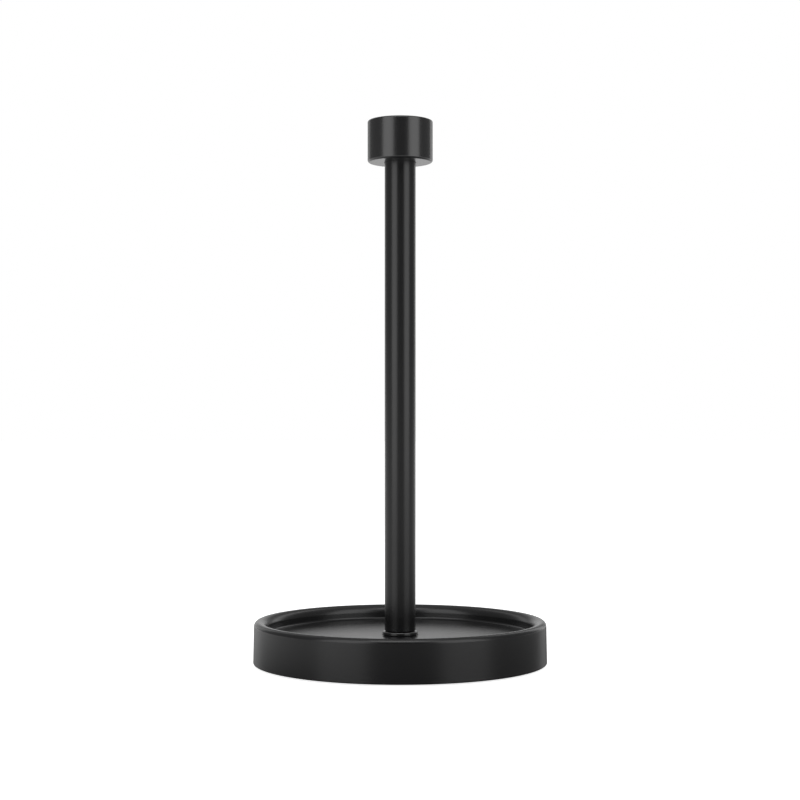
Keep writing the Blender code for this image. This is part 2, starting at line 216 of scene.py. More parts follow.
class FastenerSizes(bpy.types.PropertyGroup):
    """Threads, heads and washers"""

    clearance: length("Clearance", "Gap between pieces that fit together", 0.0003)
    bolt_pitch: length("Bolt pitch", "Pitch of the bolt's thread", 0.0010)
    bolt_thread: length("Bolt thread depth", "Depth of the bolt's thread", 0.00055)
    bolt_shank: length("Bolt diameter", "Outer diameter of the bolt's thread", 0.0060)
    bolt_head: length("Bolt head height", "Height of the domed head", 0.0033)
    bolt_dome: length("Bolt dome", "Rounding of the domed head", 0.0026)
    bolt_socket: length("Bolt socket", "Across the flats of the bolt's six-sided socket", 0.0040)
    bolt_socket_depth: length("Bolt socket depth", "Depth of that socket", 0.0018)
    stud_pitch: length("Stud pitch", "Pitch of the knob stud's thread", 0.00125)
    stud_thread: length("Stud thread depth", "Depth of the stud's thread", 0.00068)
    stud_chamfer: length("Stud chamfer", "Chamfer at the stud's ends", 0.0008)
    screw_pitch: length("Screw pitch", "Pitch of the cover screws' thread", 0.0005)
    screw_thread: length("Screw thread depth", "Depth of the cover screws' thread", 0.00028)
    screw_shank: length("Screw diameter", "Outer diameter of the cover screws' thread", 0.0030)
    screw_head: length("Screw head height", "Height of the pan head", 0.0020)
    screw_pan: length("Pan rounding", "Rounding of the pan head", 0.0010)
    recess_span: length("Recess span", "Across the cross recess at the head's face", 0.0032)
    recess_width: length("Recess width", "Width of the recess's wings", 0.0007)
    recess_depth: length("Recess depth", "Depth of the cross recess", 0.0013)
    washer_round: length("Washer rounding", "Radius of the washers' edges", 0.00015)
    split: length("Split", "Width of the spring washer's split", 0.0008)
    split_rise: length("Split rise", "How far the split ends stand apart in height", 0.0002)


class FinishSettings(bpy.types.PropertyGroup):
    """Colours and gloss of the finishes"""

    coat: colour("Powder coat", "Colour of the tray and the post", (0.0090, 0.0090, 0.0094))
    coat_roughness: number("Coat roughness", "Roughness of the powder coat", 0.26)
    coat_shine: number("Coat shine", "Specular level of the powder coat", 0.50)
    knob: colour("Knob coat", "Colour of the knob", (0.0090, 0.0090, 0.0094))
    knob_roughness: number("Knob roughness", "Roughness of the knob's coat", 0.25)
    knob_shine: number("Knob shine", "Specular level of the knob's coat", 0.78)
    ring: colour("Collar", "Colour of the moulded collar", (0.010, 0.010, 0.010))
    plastic: colour("Cover", "Colour of the moulded cover", (0.020, 0.020, 0.021))
    rubber: colour("Rubber", "Colour of the feet", (0.014, 0.014, 0.014))
    iron: colour("Cast iron", "Colour of the ballast", (0.16, 0.155, 0.15))
    zinc: colour("Zinc plate", "Colour of the screws, washers and plugs", (0.62, 0.62, 0.60))
    nylon: colour("Nylon", "Colour of the washer under the knob", (0.72, 0.70, 0.64))


class StudioSettings(bpy.types.PropertyGroup):
    """Camera, floor and lights"""

    distance: length("Camera distance", "From the camera to the post's axis", 0.9954)
    height: length("Camera height", "Height of the camera above the floor", 0.1477)
    lens: number("Lens", "Focal length in millimetres, on a 36 mm sensor", 72.9)
    rise: number("Lens rise", "Upward shift of the lens, as a share of the frame", 0.0284)
    slide: number("Lens slide", "Shift of the lens to the left, as a share of the frame", 0.0002)
    floor: length("Floor", "Radius of the floor", 12.0)
    side_distance: length("Side distance", "From the side softboxes to the post", 1.30)
    side_width: length("Side width", "Width of each side softbox", 0.94)
    side_length: length("Side length", "Length of each side softbox", 1.80)
    side_foot: length("Side foot", "Height of the side softboxes' lower edge above the floor", 0.05)
    left_angle: angle("Left angle", "From the camera's direction round to the left softbox", 43)
    right_angle: angle("Right angle", "From the camera's direction round to the right softbox", 50)
    left: number("Left", "Brightness of the left softbox", 1.50)
    right: number("Right", "Brightness of the right softbox", 1.50)
    rim_width: length("Rim light width", "Width of the two softboxes behind the post", 0.40)
    rim_angle: angle("Rim light angle", "From the camera's direction round to the rim lights", 143)
    left_rim: number("Left rim light", "Brightness of the left softbox behind the post", 0.5)
    right_rim: number("Right rim light", "Brightness of the right softbox behind the post", 0.9)
    top_distance: length("Top distance", "Height of the overhead softbox above the post's middle", 1.30)
    top_forward: length("Top forward", "How far that softbox hangs in front of the post", 0.78)
    top_size: length("Top size", "Side of the overhead softbox", 0.95)
    top: number("Top", "Brightness of the overhead softbox", 2.0)
    backdrop: number("Backdrop", "Brightness of the surroundings behind the post", 0.90)
    floor_behind: number("Floor behind", "Brightness of the floor behind the post", 0.78)
    backdrop_turn: angle("Backdrop turn", "How far the bright backdrop is turned towards the left", 4)
    beside: number("Beside", "Brightness of the surroundings at the sides", 0.24)
    ceiling: number("Ceiling", "Brightness straight above, as a share of that at the horizon", 2.0)
    behind_camera: number("Behind the camera", "Brightness of the surroundings behind the camera", 0.04)
    floor_near: number("Floor near", "Brightness of the floor close round the tray", 0.12)
    floor_far: number("Floor far", "Brightness of the floor further from the tray", 0.65)
    floor_left: number("Floor left", "Brightness of the floor at the left of the tray", 0.75)
    glow: number("Floor glow", "How evenly bright the floor is", 0.85)


class HolderSettings(bpy.types.PropertyGroup):
    """Everything that the towel holder's operators read"""

    tray: PointerProperty(type=TraySizes)
    post: PointerProperty(type=PostSizes)
    knob: PointerProperty(type=KnobSizes)
    underside: PointerProperty(type=UndersideSizes)
    fasteners: PointerProperty(type=FastenerSizes)
    finishes: PointerProperty(type=FinishSettings)
    studio: PointerProperty(type=StudioSettings)


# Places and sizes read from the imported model


def span(node):
    """(centre on the floor plan, radius, lowest and highest point) of an upright turned node."""
    low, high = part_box(node)
    middle = (low + high) / 2
    return Vector((middle.x, middle.y, 0)), (high.y - low.y) / 2, low.z, high.z


# Shapes


def ring(outer, hole, bottom, top, edge, hole_edge):
    """The outline of a plain ring, with a rounding for its outer edges and one for its hole's."""
    return [(outer, top, edge), (outer, bottom, edge), (hole, bottom, hole_edge), (hole, top, hole_edge)]


def everything(shape):
    return shape.verts[:] + shape.edges[:] + shape.faces[:]


def add_outline(shape, corners, place, closed):
    """Edges through (radius, height, rounding) corners, out from an upright axis at the place."""
    points = [shape.verts.new(place + Vector((r, 0, z))) for r, z, _ in corners]
    pairs = list(zip(points, points[1:]))
    if closed:
        pairs.append((points[-1], points[0]))
    for pair in pairs:
        shape.edges.new(pair)
    for point, (_, _, rounding) in zip(points, corners):
        if rounding > 0:
            segments = ROUND_SEGMENTS if rounding > SMALL_ROUND else SMALL_ROUND_SEGMENTS
            bmesh.ops.bevel(
                shape, geom=[point], offset=rounding, offset_type="OFFSET", segments=segments,
                profile=0.5, affect="VERTICES", material=-1,
            )


def add_turned(shape, corners, facets, place=ORIGIN, closed=True):
    """A solid of revolution about the upright axis at the place, added to the shape."""
    before = set(shape.verts)
    add_outline(shape, corners, place, closed)
    points = [point for point in shape.verts if point not in before]
    edges = [edge for edge in shape.edges if edge.verts[0] not in before]
    bmesh.ops.spin(
        shape, geom=points + edges, cent=place, axis=UP, angle=math.tau, steps=facets, use_merge=True
    )
    points = [point for point in shape.verts if point not in before]
    bmesh.ops.remove_doubles(shape, verts=points, dist=WELD)


def turned(corners, facets, closed=True):
    shape = bmesh.new()
    add_turned(shape, corners, facets, closed=closed)
    return shape


def threaded(radius, depth, pitch, low, high, facets, chamfer=0.0):
    """A screw thread between two heights on the z axis, cut off flat and chamfered at both ends."""
    shape = bmesh.new()
    start = low - 1.5 * pitch
    root = radius - depth
    # One pitch of the thread: a flat root, a flank, a narrow flat crest and the other flank
    corners = [
        (root, start, 0),
        (root, start + pitch / 4, 0),
        (radius, start + pitch * 9 / 16, 0),
        (radius, start + pitch * 11 / 16, 0),
        (root, start + pitch, 0),
    ]
    add_outline(shape, corners, ORIGIN, closed=False)
    bmesh.ops.spin(
        shape, geom=everything(shape), cent=ORIGIN, axis=UP,
        dvec=UP * pitch / facets, angle=math.tau, steps=facets,
    )
    one_turn = everything(shape)
    turns = math.ceil((high - start) / pitch) + 1
    for turn in range(1, turns):
        copied = bmesh.ops.duplicate(shape, geom=one_turn)["geom"]
        points = [item for item in copied if isinstance(item, bmesh.types.BMVert)]
        bmesh.ops.translate(shape, vec=UP * pitch * turn, verts=points)
    bmesh.ops.remove_doubles(shape, verts=shape.verts, dist=WELD)
    for height, outwards in ((high, UP), (low, -UP)):
        bmesh.ops.bisect_plane(
            shape, geom=everything(shape), dist=CUT_WELD,
            plane_co=UP * height, plane_no=outwards, clear_outer=True,
        )
    rims = [edge for edge in shape.edges if edge.is_boundary]
    bmesh.ops.holes_fill(shape, edges=rims, sides=0)
    bmesh.ops.recalc_face_normals(shape, faces=shape.faces)
    for point in shape.verts:
        room = min(point.co.z - low, high - point.co.z)
        limit = radius - max(0.0, chamfer - room)
        reach = point.co.xy.length
        if reach > limit:
            point.co.xy *= limit / reach
    return shape


def settle(shape):
    """Faces turned outwards, and everything in an order that is the same on each run."""

    def put_in_order(items, place):
        """By height, then by depth, then by width, first on a grid and then to the last digit."""

        def order(item):
            x, y, z = place(item)
            return [round(value / SORT_GRID) for value in (z, y, x)] + [z, y, x]

        ranks = {item: rank for rank, item in enumerate(sorted(items, key=order))}
        items.sort(key=ranks.get)

    bmesh.ops.recalc_face_normals(shape, faces=shape.faces)
    put_in_order(shape.verts, lambda vert: vert.co)
    put_in_order(shape.edges, lambda edge: (edge.verts[0].co + edge.verts[1].co) / 2)
    put_in_order(shape.faces, lambda face: face.calc_center_median())


def new_object(name, shape):
    """The shape as an object in the scene; the shape itself is used up."""
    settle(shape)
    mesh = bpy.data.meshes.new(name)
    shape.to_mesh(mesh)
    shape.free()
    made = bpy.data.objects.new(name, mesh)
    bpy.context.scene.collection.objects.link(made)
    return made


def combined(first, operation, second):
    """Two closed shapes made one: joined for UNION, or the first less the second for DIFFERENCE."""
    body = new_object("combined_body", first)
    tool = new_object("combined_tool", second)
    change = body.modifiers.new("combine", "BOOLEAN")
    change.operation = operation
    change.solver = "EXACT"
    change.object = tool
    graph = bpy.context.evaluated_depsgraph_get()
    result = bmesh.new()
    result.from_object(body, graph)
    if not result.faces:
        raise RuntimeError(f"{operation} left nothing")
    for used in (body, tool):
        mesh = used.data
        bpy.data.objects.remove(used)
        bpy.data.meshes.remove(mesh)
    bmesh.ops.remove_doubles(result, verts=result.verts, dist=CUT_WELD)
    return result


def finished(name, shape, node, finish):
    """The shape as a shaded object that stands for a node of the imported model, and moves with it."""
    open_edges = [edge for edge in shape.edges if not edge.is_manifold]
    if open_edges:
        raise RuntimeError(f"{name} has {len(open_edges)} open edges")
    piece = new_object(name, shape)
    piece.data.shade_smooth()
    piece.data.set_sharp_from_angle(angle=CREASE)
    piece.data.materials.append(finish)
    weighted = piece.modifiers.new("weighted_normals", "WEIGHTED_NORMAL")
    weighted.keep_sharp = True
    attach(piece, frame["nodes"][node]["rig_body"])
    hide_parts(node)


# Finishes


def add_node(tree, kind, inputs, **choices):
    """A new node, each of whose inputs is given as a value or as the socket that feeds it."""
    node = tree.nodes.new(kind)
    for choice, value in choices.items():
        setattr(node, choice, value)
    for socket, given in inputs.items():
        if isinstance(given, bpy.types.NodeSocket):
            tree.links.new(given, node.inputs[socket])
        else:
            node.inputs[socket].default_value = given
    return node


def stretched(tree, value, start, end, low, high):
    """The value, with start to end stretched over low to high."""
    inputs = {"Value": value, "From Min": start, "From Max": end, "To Min": low, "To Max": high}
    return add_node(tree, "ShaderNodeMapRange", inputs).outputs["Result"]


def split_by_camera(tree, for_light, for_camera):
    """One shader as the light sees it, and another as the camera does."""
    camera_ray = tree.nodes.new("ShaderNodeLightPath").outputs["Is Camera Ray"]
    inputs = {"Fac": camera_ray, 1: for_light.outputs[0], 2: for_camera.outputs[0]}
    return add_node(tree, "ShaderNodeMixShader", inputs).outputs["Shader"]


class Finish:
    """A procedural material, laid on the piece's own coordinates in metres."""

    def __init__(self, name, colour, roughness, metallic=0.0):
        self.material = bpy.data.materials.new(name)
        self.material.use_nodes = True
        self.tree = self.material.node_tree
        self.shader = self.tree.nodes["Principled BSDF"]
        self.place = self.tree.nodes.new("ShaderNodeTexCoord").outputs["Object"]
        self.set("Base Color", (*colour, 1.0))
        self.set("Roughness", roughness)
        self.set("Metallic", metallic)

    def set(self, socket, value):
        self.shader.inputs[socket].default_value = value

    def drive(self, socket, value):
        self.tree.links.new(value, self.shader.inputs[socket])

    def noise(self, size, detail=2.0):
        """Cloudy values from 0 to 1, whose patches are about that size in metres."""
        inputs = {"Vector": self.place, "Scale": 1 / size, "Detail": detail}
        return add_node(self.tree, "ShaderNodeTexNoise", inputs).outputs["Fac"]

    def rings(self, pitch, wander):
        """Fine tool marks round the upright axis."""
        inputs = {"Vector": self.place, "Scale": 1 / pitch, "Distortion": wander, "Detail": 2.0}
        marks = add_node(self.tree, "ShaderNodeTexWave", inputs, wave_type="RINGS", rings_direction="Z")
        return marks.outputs["Fac"]

    def ranged(self, value, low, high):
        """The middle of the value's range, stretched over low to high."""
        return stretched(self.tree, value, 0.3, 0.7, low, high)

    def blended(self, value, first, second):
        """One colour running into another."""
        inputs = {0: value, 6: (*first, 1.0), 7: (*second, 1.0)}
        return add_node(self.tree, "ShaderNodeMix", inputs, data_type="RGBA").outputs[2]

    def mottle(self, value, colour, spread):
        """Patches of the colour, darker and lighter by that share."""
        darker, lighter = ([channel * factor for channel in colour] for factor in (1 - spread, 1 + spread))
        self.drive("Base Color", self.blended(self.ranged(value, 0, 1), darker, lighter))

    def emboss(self, value, height):
        """Relief of that height in metres, added to any relief already there."""
        inputs = {"Height": value, "Strength": 1.0, "Distance": height}
        normal = self.shader.inputs["Normal"]
        if normal.is_linked:
            inputs["Normal"] = normal.links[0].from_socket
        self.tree.links.new(add_node(self.tree, "ShaderNodeBump", inputs).outputs["Normal"], normal)


def coat_finish(name, colour, roughness, shine):
    """Satin powder coat: a soft flow texture with a fine speckle in its gloss."""
    finish = Finish(name, colour, roughness)
    finish.set("Specular IOR Level", shine)
    flow = finish.noise(0.0016, detail=3.0)
    speckle = finish.noise(0.00035, detail=1.0)
    clouds = finish.noise(0.030, detail=2.0)
    finish.mottle(speckle, colour, 0.06)
    finish.drive("Roughness", finish.ranged(clouds, roughness - 0.012, roughness + 0.012))
    finish.emboss(flow, 0.0000030)
    finish.emboss(speckle, 0.0000006)
    return finish.material


def ring_finish(name, colour):
    """Smooth moulded ring with a slight sheen."""
    finish = Finish(name, colour, 0.20)
    clouds = finish.noise(0.006, detail=2.0)
    finish.set("Specular IOR Level", 0.9)
    finish.drive("Roughness", finish.ranged(clouds, 0.18, 0.23))
    finish.mottle(clouds, colour, 0.08)
    finish.emboss(finish.noise(0.0008), 0.0000010)
    return finish.material


def plastic_finish(name, colour):
    """Moulded cover with the fine spark-eroded grain of its mould."""
    finish = Finish(name, colour, 0.52)
    grain = finish.noise(0.00045, detail=3.0)
    flow = finish.noise(0.025, detail=2.0)
    finish.drive("Roughness", finish.ranged(grain, 0.46, 0.60))
    finish.mottle(flow, colour, 0.10)
    finish.emboss(grain, 0.000030)
    return finish.material


def rubber_finish(name, colour):
    """Dull rubber with a dusty bloom."""
    finish = Finish(name, colour, 0.80)
    bloom = finish.noise(0.004, detail=4.0)
    grain = finish.noise(0.0003, detail=2.0)
    finish.set("Specular IOR Level", 0.35)
    finish.drive("Roughness", finish.ranged(bloom, 0.72, 0.88))
    finish.mottle(bloom, colour, 0.25)
    finish.emboss(grain, 0.000015)
    return finish.material


def iron_finish(name, colour):
    """Rough sand-cast iron under a film of oil."""
    finish = Finish(name, colour, 0.55, metallic=0.9)
    sand = finish.noise(0.0009, detail=5.0)
    stain = finish.noise(0.012, detail=4.0)
    finish.set("Coat Weight", 0.15)
    finish.set("Coat Roughness", 0.30)
    finish.drive("Roughness", finish.ranged(stain, 0.45, 0.68))
    finish.mottle(stain, colour, 0.30)
    finish.emboss(sand, 0.000120)
    return finish.material


def zinc_finish(name, colour):
    """Bright zinc plate with turning marks and a faint straw tint."""
    finish = Finish(name, colour, 0.30, metallic=1.0)
    clouds = finish.noise(0.0022, detail=3.0)
    straw = [channel * tint for channel, tint in zip(colour, (1.0, 0.95, 0.84))]
    finish.drive("Base Color", finish.blended(finish.ranged(clouds, 0, 1), colour, straw))
    finish.drive("Roughness", finish.ranged(clouds, 0.24, 0.38))
    finish.emboss(finish.rings(0.0009, 1.5), 0.0000025)
    finish.emboss(finish.noise(0.00025), 0.0000030)
    return finish.material


def nylon_finish(name, colour):
    """Natural nylon, cloudy and slightly translucent, with saw marks from parting it off."""
    finish = Finish(name, colour, 0.42)
    clouds = finish.noise(0.003, detail=3.0)
    finish.set("Subsurface Weight", 0.35)
    finish.set("Subsurface Scale", 0.0008)
    finish.drive("Roughness", finish.ranged(clouds, 0.36, 0.50))
    finish.mottle(clouds, colour, 0.05)
    finish.emboss(finish.rings(0.0007, 0.8), 0.0000050)
    return finish.material


# Each finish's maker, and the settings that it is given
FINISHES = {
    "black_powder_coat": (coat_finish, "coat", "coat_roughness", "coat_shine"),
    "black_knob_coat": (coat_finish, "knob", "knob_roughness", "knob_shine"),
    "black_moulded_ring": (ring_finish, "ring"),
    "black_moulded_plastic": (plastic_finish, "plastic"),
    "black_rubber": (rubber_finish, "rubber"),
    "cast_iron": (iron_finish, "iron"),
    "zinc_plate": (zinc_finish, "zinc"),
    "natural_nylon": (nylon_finish, "nylon"),
}


def finish_of(name, settings):
    """The named finish, made the first time that a piece asks for it."""
    maker, *keys = FINISHES[name]
    return bpy.data.materials.get(name) or maker(name, *(getattr(settings, key) for key in keys))


# Operators, one for each piece or group of like pieces


class HolderOperator:
    """What every operator of the towel holder shares"""

    bl_options = {"REGISTER", "UNDO"}

    def execute(self, context):
        settings = context.scene.towel_holder
        self.make(settings, lambda name: finish_of(name, settings.finishes))
        return {"FINISHED"}


class TOWEL_OT_tray(HolderOperator, bpy.types.Operator):
    """Spin the pressed tray, with its hollow rim and the seat for the collar"""

    bl_idname = "towel.tray"
    bl_label = "Tray"

    def make(self, settings, finish):
        sizes = settings.tray
        _, outer, bottom, top = span("base_shell")
        _, collar, _, _ = span("post_collar")
        clearance = settings.fasteners.clearance
        wall = sizes.wall
        shoulder = outer - sizes.draft
        inner = shoulder - sizes.rim
        floor = top - sizes.depth
        hole = settings.fasteners.bolt_shank / 2 + clearance
        corners = [
            (shoulder, top, sizes.outer_round),
            (outer, bottom, sizes.edge_round),
            (outer - wall, bottom, sizes.edge_round),
            (shoulder - wall, top - wall, sizes.outer_round - wall),
            (inner + wall, top - wall, sizes.inner_round - wall),
            (inner + wall, floor - wall, sizes.corner_round),
            (hole, floor - wall, 0),
            (hole, floor - sizes.seat_depth, 0),
            (collar + clearance, floor - sizes.seat_depth, 0),
            (collar + clearance, floor, sizes.seat_depth / 2),
            (inner, floor, sizes.corner_round),
            (inner, top, sizes.inner_round),
        ]
        shape = turned(corners, sizes.facets)
        finished("coated_tray", shape, "base_shell", finish("black_powder_coat"))


class TOWEL_OT_ballast(HolderOperator, bpy.types.Operator):
    """Spin the iron ballast and drill the holes that the cover's screws bite into"""

    bl_idname = "towel.ballast"
    bl_label = "Ballast"

    def make(self, settings, finish):
        sizes = settings.underside
        _, outer, bottom, top = span("ballast_plate")
        clearance = settings.fasteners.clearance
        well = sizes.ballast_well / 2
        well_top = bottom + sizes.ballast_well_depth
        hole = settings.fasteners.bolt_shank / 2 + clearance
        corners = [
            (outer, top, sizes.ballast_edge),
            (outer, bottom, sizes.ballast_edge),
            (well, bottom, sizes.mouth_chamfer),
            (well, well_top, 0),
            (hole, well_top, 0),
            (hole, top, sizes.mouth_chamfer),
        ]
        shape = turned(corners, sizes.facets)
        drills = bmesh.new()
        radius = settings.fasteners.screw_shank / 2 + clearance
        chamfer = sizes.mouth_chamfer
        for number in NUMBERS:
            place, _, _, _ = span(f"cover_screw_{number}")
            # The bit's slanted tip leaves a cone at the end of each blind hole.
            drill = [
                (0, bottom - clearance, 0),
                (radius + clearance + chamfer, bottom - clearance, 0),
                (radius, bottom + chamfer, 0),
                (radius, bottom + sizes.tapped_depth - radius / 2, 0),
                (0, bottom + sizes.tapped_depth, 0),
            ]
            add_turned(drills, drill, HOLE_FACETS, place, closed=False)
        shape = combined(shape, "DIFFERENCE", drills)
        finished("iron_ballast", shape, "ballast_plate", finish("cast_iron"))


class TOWEL_OT_cover(HolderOperator, bpy.types.Operator):
    """Mould the cover that closes the base from below, with its ribs, stand-offs and recesses"""

    bl_idname = "towel.cover"
    bl_label = "Bottom cover"

    def make(self, settings, finish):
        sizes = settings.underside
        fasteners = settings.fasteners
        _, outer, bottom, rib_top = span("bottom_cover")
        plate_top = bottom + sizes.cover
        hole = sizes.hole / 2
        rib_outer = outer - sizes.rib_inset
        rib_inner = rib_outer - sizes.rib
        chamfer = sizes.mouth_chamfer
        corners = [
            (outer, plate_top, chamfer),
            (outer, bottom, sizes.cover_round),
            (hole, bottom, sizes.cover_round),
            (hole, rib_top, chamfer),
            (hole + sizes.rib, rib_top, chamfer),
            (hole + sizes.rib, plate_top, chamfer),
            (rib_inner, plate_top, chamfer),
            (rib_inner, rib_top, chamfer),
            (rib_outer, rib_top, chamfer),
            (rib_outer, plate_top, chamfer),
        ]
        shape = turned(corners, sizes.facets)
        standoffs = bmesh.new()
        recesses = bmesh.new()
        below = bottom - sizes.cover

        def add_pocket(place, radius, top):
            """A round pocket, wider at its mouth by the chamfer."""
            pocket = [
                (0, below, 0),
                (radius + chamfer, below, 0),
                (radius + chamfer, bottom, 0),
                (radius, bottom + chamfer, 0),
                (radius, top, 0),
                (0, top, 0),
            ]
            add_turned(recesses, pocket, DETAIL_FACETS, place, closed=False)

        for number in NUMBERS:
            place, _, head_bottom, _ = span(f"cover_screw_{number}")
            standoff = [
                (0, rib_top, 0),
                (sizes.standoff / 2, rib_top, chamfer),
                (sizes.standoff / 2, bottom + sizes.cover / 2, 0),
                (0, bottom + sizes.cover / 2, 0),
            ]
            add_turned(standoffs, standoff, DETAIL_FACETS, place, closed=False)
            seat = head_bottom + fasteners.screw_head + fasteners.clearance
            add_pocket(place, sizes.well / 2, seat)
            foot_place, foot, _, foot_top = span(f"rubber_foot_{number}")
            add_pocket(foot_place, foot + fasteners.clearance, foot_top + fasteners.clearance)
        shape = combined(shape, "UNION", standoffs)
        shape = combined(shape, "DIFFERENCE", recesses)
        bores = bmesh.new()
        radius = fasteners.screw_shank / 2 + fasteners.clearance
        for number in NUMBERS:
            place, _, _, _ = span(f"cover_screw_{number}")
            above = rib_top + radius
            bore = [(0, below, 0), (radius, below, 0), (radius, above, 0), (0, above, 0)]
            add_turned(bores, bore, HOLE_FACETS, place, closed=False)
        shape = combined(shape, "DIFFERENCE", bores)
        finished("moulded_cover", shape, "bottom_cover", finish("black_moulded_plastic"))


class TOWEL_OT_feet(HolderOperator, bpy.types.Operator):
    """Mould the four rubber feet, each with two grip rings in its lower face"""

    bl_idname = "towel.feet"
    bl_label = "Rubber feet"

    def make(self, settings, finish):
        sizes = settings.underside
        groove = sizes.foot_groove
        depth = sizes.groove_depth
        for number in NUMBERS:
            node = f"rubber_foot_{number}"
            place, outer, bottom, top = span(node)
            corners = [(0, top, 0), (outer, top, sizes.mouth_chamfer), (outer, bottom, sizes.foot_round)]
            for start in (outer - 2 * groove, outer - 4 * groove):
                corners += [
                    (start, bottom, 0),
                    (start - depth, bottom + depth, 0),
                    (start - groove + depth, bottom + depth, 0),
                    (start - groove, bottom, 0),
                ]
            corners.append((0, bottom, 0))
            shape = bmesh.new()
            add_turned(shape, corners, DETAIL_FACETS, place, closed=False)
            finished(f"moulded_foot_{number}", shape, node, finish("black_rubber"))


def headed(sizes, kind, node, dome, turns, inset, chamfer, facets, head_facets):
    """A round head with a thread above it, joined by a plain neck that many turns of thread high.

    The neck lies inside the thread's crest by that many thread depths, and so inside its root.
    """
    names = ("head", "shank", "thread", "pitch")
    height, shank, depth, pitch = (getattr(sizes, f"{kind}_{name}") for name in names)
    _, head, face, tip = span(node)
    seat = face + height
    neck = shank / 2 - inset * depth
    corners = [
        (0, seat + turns * pitch, 0),
        (neck, seat + turns * pitch, 0),
        (neck, seat, 0),
        (head, seat, sizes.washer_round),
        (head, face, dome),
        (0, face, 0),
    ]
    thread = threaded(shank / 2, depth, pitch, seat + (turns - 0.5) * pitch, tip, facets, chamfer)
    return combined(turned(corners, head_facets, closed=False), "UNION", thread)


class TOWEL_OT_cover_screws(HolderOperator, bpy.types.Operator):
    """Cut the four pan-head screws, with a cross recess and a thread on each"""

    bl_idname = "towel.cover_screws"
    bl_label = "Cover screws"

    def make(self, settings, finish):
        sizes = settings.fasteners
        _, _, face, _ = span("cover_screw_1")
        screw = headed(
            sizes, "screw", "cover_screw_1", dome=sizes.screw_pan, turns=1, inset=1.2,
            chamfer=sizes.screw_shank / 6, facets=24, head_facets=48,
        )
        screw = combined(screw, "DIFFERENCE", cross(sizes, face))
        for number in NUMBERS:
            node = f"cover_screw_{number}"
            place, _, _, _ = span(node)
            shape = screw.copy()
            # Each screw comes to rest at its own angle, an odd share of a turn from the last one.
            turn = Matrix.Rotation(number * math.tau / 7, 3, "Z")
            bmesh.ops.rotate(shape, cent=ORIGIN, matrix=turn, verts=shape.verts)
            bmesh.ops.translate(shape, vec=place, verts=shape.verts)
            finished(f"cross_screw_{number}", shape, node, finish("zinc_plate"))
        screw.free()


def cross(sizes, face):
    """Two crossed wedges that narrow upwards from the screw's face, joined into one tool."""
    wings = []
    base = math.sqrt(0.5)
    taper = 0.2
    # At the face, half-way up the wedge, its width is the mean of those at its base and its tip.
    at_face = (1 + taper) / 2
    # The second wedge reaches a little deeper, so that no two faces of the wedges coincide.
    for angle, reach in ((0, 2 * sizes.recess_depth), (math.pi / 2, 2.04 * sizes.recess_depth)):
        wing = bmesh.new()
        bmesh.ops.create_cone(
            wing, cap_ends=True, segments=4, radius1=base, radius2=base * taper, depth=reach,
            matrix=Matrix.Translation(UP * face) @ Matrix.Rotation(math.pi / 4, 4, "Z"),
        )
        across = Vector((sizes.recess_span, sizes.recess_width, 1)) / at_face
        bmesh.ops.scale(wing, vec=(across.x, across.y, 1), verts=wing.verts)
        bmesh.ops.rotate(wing, cent=ORIGIN, matrix=Matrix.Rotation(angle, 3, "Z"), verts=wing.verts)
        wings.append(wing)
    return combined(wings[0], "UNION", wings[1])


class TOWEL_OT_bolt(HolderOperator, bpy.types.Operator):
    """Cut the domed socket bolt that clamps the base to the post"""

    bl_idname = "towel.bolt"
    bl_label = "Centre bolt"

    def make(self, settings, finish):
        sizes = settings.fasteners
        shape = headed(
            sizes, "bolt", "center_bolt", dome=sizes.bolt_dome, turns=2, inset=1.1,
            chamfer=sizes.bolt_thread, facets=40, head_facets=METAL_FACETS,
        )
        _, _, face, _ = span("center_bolt")
        key = bmesh.new()
        corner = sizes.bolt_socket / 2 / math.cos(math.pi / 6)
        # Half of the six-sided key stands out of the head's face.
        bmesh.ops.create_cone(
            key, cap_ends=True, segments=6, radius1=corner, radius2=corner,
            depth=2 * sizes.bolt_socket_depth, matrix=Matrix.Translation(UP * face),
        )
        shape = combined(shape, "DIFFERENCE", key)
        finished("socket_bolt", shape, "center_bolt", finish("zinc_plate"))


class TOWEL_OT_washers(HolderOperator, bpy.types.Operator):
    """Stamp the plain washer and coil the split spring washer under the bolt's head"""

    bl_idname = "towel.washers"
    bl_label = "Washers"

    def make(self, settings, finish):
        sizes = settings.fasteners
        hole = sizes.bolt_shank / 2 + sizes.clearance
        edge = sizes.washer_round
        _, outer, bottom, top = span("flat_washer")
        shape = turned(ring(outer, hole, bottom, top, edge, edge), METAL_FACETS)
        finished("plain_washer", shape, "flat_washer", finish("zinc_plate"))

        _, outer, bottom, top = span("spring_washer")
        half_gap = sizes.split / (outer + hole)
        rise = sizes.split_rise
        facets = 90
        corners = ring(outer, hole, bottom - rise / 2, top - rise / 2, edge, edge)
        shape = bmesh.new()
        add_outline(shape, corners, ORIGIN, closed=True)
        bmesh.ops.rotate(shape, cent=ORIGIN, matrix=Matrix.Rotation(half_gap, 3, "Z"), verts=shape.verts)
        bmesh.ops.contextual_create(shape, geom=shape.edges[:])
        bmesh.ops.spin(
            shape, geom=everything(shape), cent=ORIGIN, axis=UP,
            dvec=UP * rise / facets, angle=math.tau - 2 * half_gap, steps=facets,
        )
        finished("split_washer", shape, "spring_washer", finish("zinc_plate"))


